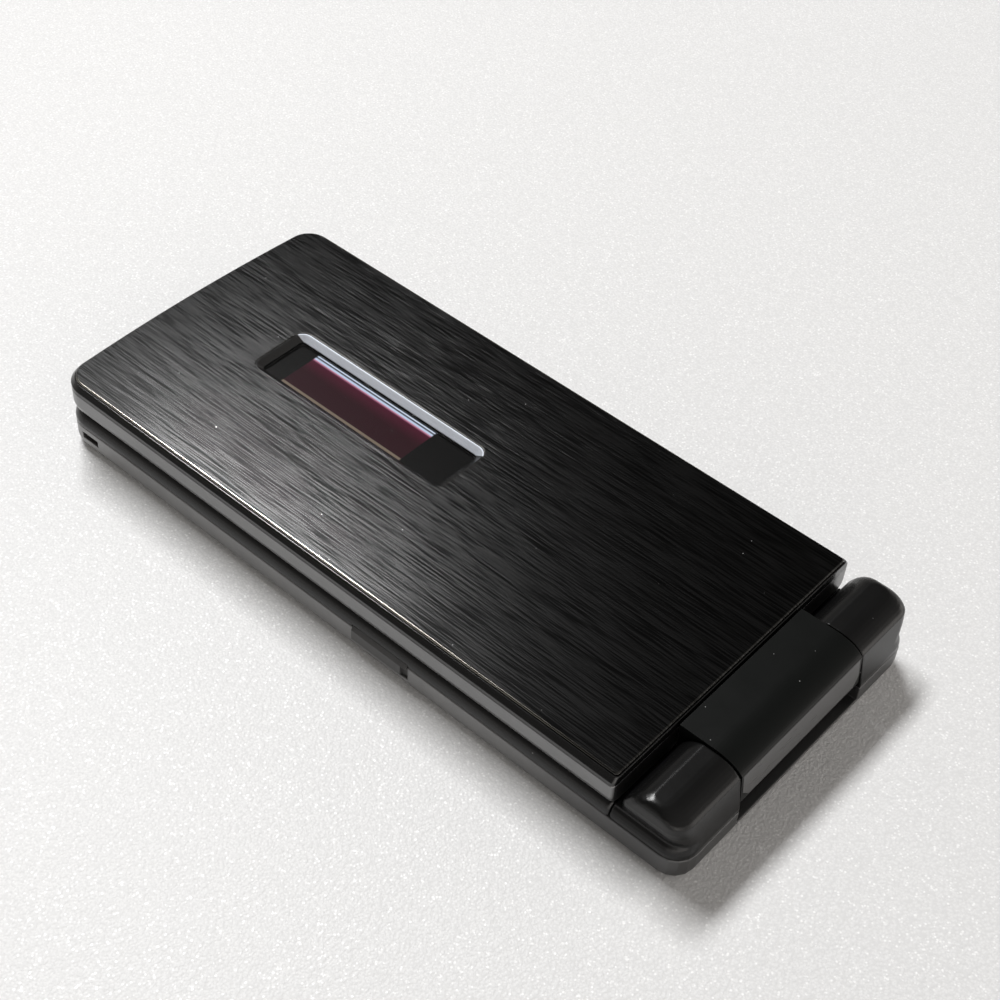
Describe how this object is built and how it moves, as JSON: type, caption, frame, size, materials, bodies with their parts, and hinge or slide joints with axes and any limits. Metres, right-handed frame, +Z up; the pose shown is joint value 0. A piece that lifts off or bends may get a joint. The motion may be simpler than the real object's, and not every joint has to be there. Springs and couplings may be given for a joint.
{
  "type": "flip phone",
  "caption": "Slim clamshell phone, shut: brushed metal lid with a small outer display, barrel hinge between two shoulders, keys and main display inside.",
  "frame": {"origin": "middle of the footprint, on the surface that the phone lies on", "axes": "+X across the phone, +Y along it towards the hinge, +Z up through the lid"},
  "size_m": [0.0495, 0.112, 0.0118],
  "materials": {
    "brushed_plate": "black anodised, brushed lengthways, polished edge",
    "gloss_black": "gloss painted",
    "satin_black": "satin",
    "strip_black": "gloss",
    "case_black": "fine satin",
    "polished_frame": "polished",
    "clear_pane": "clear",
    "display_pane": "smoked clear",
    "display": "glass faced",
    "board": "solder mask",
    "steel": "bright",
    "grille": "satin",
    "contact_gold": "plated",
    "bush": "turned",
    "capsule": "moulded",
    "rubber": "matte",
    "dome_film": "film",
    "battery_skin": "shrink film",
    "key_black": "satin",
    "key_call": "satin",
    "nav_metal": "spun"
  },
  "bodies": {
    "base": {"hinge_key_shaft": "steel", "hinge_shoulders": "gloss_black", "base_upper_case": "gloss_black", "base_lower_case": "case_black", "main_board": "board", "shield_can": "steel", "dome_sheet": "dome_film", "battery": "battery_skin", "battery_contacts": "contact_gold", "camera_module": "capsule", "camera_window": "clear_pane", "loudspeaker": "capsule", "side_socket": "steel", "dock_connector": "steel", "side_switches": "steel", "case_screws": "steel", "antenna": "contact_gold", "microphone": "capsule"},
    "lid": {"lid_plate": "brushed_plate", "lid_outer_case": "gloss_black", "window_bezel": "polished_frame", "subdisplay_window": "clear_pane", "subdisplay_panel": "display", "lid_board": "board", "main_display": "display", "main_display_window": "display_pane", "lid_inner_case": "gloss_black", "earpiece": "capsule", "earpiece_grille": "grille", "lid_bumpers": "rubber", "lid_screws": "steel", "lid_screw_caps": "rubber", "hinge_barrel": "satin_black", "hinge_end_plate": "strip_black", "hinge_cam_unit": "steel", "hinge_bush": "bush"},
    "battery_cover": {"battery_cover": "case_black"},
    "socket_cover": {"side_socket_cover": "rubber"},
    "dock_flap": {"dock_cover": "rubber"},
    "side_key_front": {"side_key_front": "case_black"},
    "side_key_rear": {"side_key_rear": "case_black"},
    "key_1": {"key_1": "key_black"},
    "key_2": {"key_2": "key_black"},
    "key_3": {"key_3": "key_black"},
    "key_4": {"key_4": "key_black"},
    "key_5": {"key_5": "key_black"},
    "key_6": {"key_6": "key_black"},
    "key_7": {"key_7": "key_black"},
    "key_8": {"key_8": "key_black"},
    "key_9": {"key_9": "key_black"},
    "key_star": {"key_star": "key_black"},
    "key_0": {"key_0": "key_black"},
    "key_hash": {"key_hash": "key_black"},
    "call_key": {"call_key": "key_call"},
    "clear_key": {"clear_key": "key_black"},
    "end_key": {"end_key": "key_call"},
    "soft_key_left": {"soft_key_left": "key_black"},
    "soft_key_right": {"soft_key_right": "key_black"},
    "nav_ring": {"nav_ring": "nav_metal"},
    "nav_centre_key": {"nav_centre_key": "nav_metal"}
  },
  "joints": [
    {"name": "lid_hinge", "type": "hinge", "parent": "base", "child": "lid", "pos_m": [0, 0.051, 0.00655], "axis": [-1, 0, 0], "range_deg": [0, 160]},
    {"name": "battery_cover_slide", "type": "slide", "parent": "base", "child": "battery_cover", "axis": [0, -1, 0], "range_m": [0, 0.003]},
    {"name": "socket_cover_hinge", "type": "hinge", "parent": "base", "child": "socket_cover", "pos_m": [0.02475, 0.00245, 0.00335], "axis": [0, 0, -1], "range_deg": [0, 100]},
    {"name": "dock_flap_hinge", "type": "hinge", "parent": "base", "child": "dock_flap", "pos_m": [0.0065, -0.05589, 0.00295], "axis": [0, 0, 1], "range_deg": [0, 100]},
    {"name": "side_key_front_press", "type": "slide", "parent": "base", "child": "side_key_front", "axis": [1, 0, 0], "range_m": [0, 0.0003], "stiffness_N_per_m": 400},
    {"name": "side_key_rear_press", "type": "slide", "parent": "base", "child": "side_key_rear", "axis": [1, 0, 0], "range_m": [0, 0.0003], "stiffness_N_per_m": 400},
    {"name": "key_1_press", "type": "slide", "parent": "base", "child": "key_1", "axis": [0, 0, -1], "range_m": [0, 0.00025], "stiffness_N_per_m": 500},
    {"name": "key_2_press", "type": "slide", "parent": "base", "child": "key_2", "axis": [0, 0, -1], "range_m": [0, 0.00025], "stiffness_N_per_m": 500},
    {"name": "key_3_press", "type": "slide", "parent": "base", "child": "key_3", "axis": [0, 0, -1], "range_m": [0, 0.00025], "stiffness_N_per_m": 500},
    {"name": "key_4_press", "type": "slide", "parent": "base", "child": "key_4", "axis": [0, 0, -1], "range_m": [0, 0.00025], "stiffness_N_per_m": 500},
    {"name": "key_5_press", "type": "slide", "parent": "base", "child": "key_5", "axis": [0, 0, -1], "range_m": [0, 0.00025], "stiffness_N_per_m": 500},
    {"name": "key_6_press", "type": "slide", "parent": "base", "child": "key_6", "axis": [0, 0, -1], "range_m": [0, 0.00025], "stiffness_N_per_m": 500},
    {"name": "key_7_press", "type": "slide", "parent": "base", "child": "key_7", "axis": [0, 0, -1], "range_m": [0, 0.00025], "stiffness_N_per_m": 500},
    {"name": "key_8_press", "type": "slide", "parent": "base", "child": "key_8", "axis": [0, 0, -1], "range_m": [0, 0.00025], "stiffness_N_per_m": 500},
    {"name": "key_9_press", "type": "slide", "parent": "base", "child": "key_9", "axis": [0, 0, -1], "range_m": [0, 0.00025], "stiffness_N_per_m": 500},
    {"name": "key_star_press", "type": "slide", "parent": "base", "child": "key_star", "axis": [0, 0, -1], "range_m": [0, 0.00025], "stiffness_N_per_m": 500},
    {"name": "key_0_press", "type": "slide", "parent": "base", "child": "key_0", "axis": [0, 0, -1], "range_m": [0, 0.00025], "stiffness_N_per_m": 500},
    {"name": "key_hash_press", "type": "slide", "parent": "base", "child": "key_hash", "axis": [0, 0, -1], "range_m": [0, 0.00025], "stiffness_N_per_m": 500},
    {"name": "call_key_press", "type": "slide", "parent": "base", "child": "call_key", "axis": [0, 0, -1], "range_m": [0, 0.00025], "stiffness_N_per_m": 500},
    {"name": "clear_key_press", "type": "slide", "parent": "base", "child": "clear_key", "axis": [0, 0, -1], "range_m": [0, 0.00025], "stiffness_N_per_m": 500},
    {"name": "end_key_press", "type": "slide", "parent": "base", "child": "end_key", "axis": [0, 0, -1], "range_m": [0, 0.00025], "stiffness_N_per_m": 500},
    {"name": "soft_key_left_press", "type": "slide", "parent": "base", "child": "soft_key_left", "axis": [0, 0, -1], "range_m": [0, 0.00025], "stiffness_N_per_m": 500},
    {"name": "soft_key_right_press", "type": "slide", "parent": "base", "child": "soft_key_right", "axis": [0, 0, -1], "range_m": [0, 0.00025], "stiffness_N_per_m": 500},
    {"name": "nav_ring_press", "type": "slide", "parent": "base", "child": "nav_ring", "axis": [0, 0, -1], "range_m": [0, 0.00025], "stiffness_N_per_m": 500},
    {"name": "nav_centre_key_press", "type": "slide", "parent": "base", "child": "nav_centre_key", "axis": [0, 0, -1], "range_m": [0, 0.00025], "stiffness_N_per_m": 500}
  ]
}
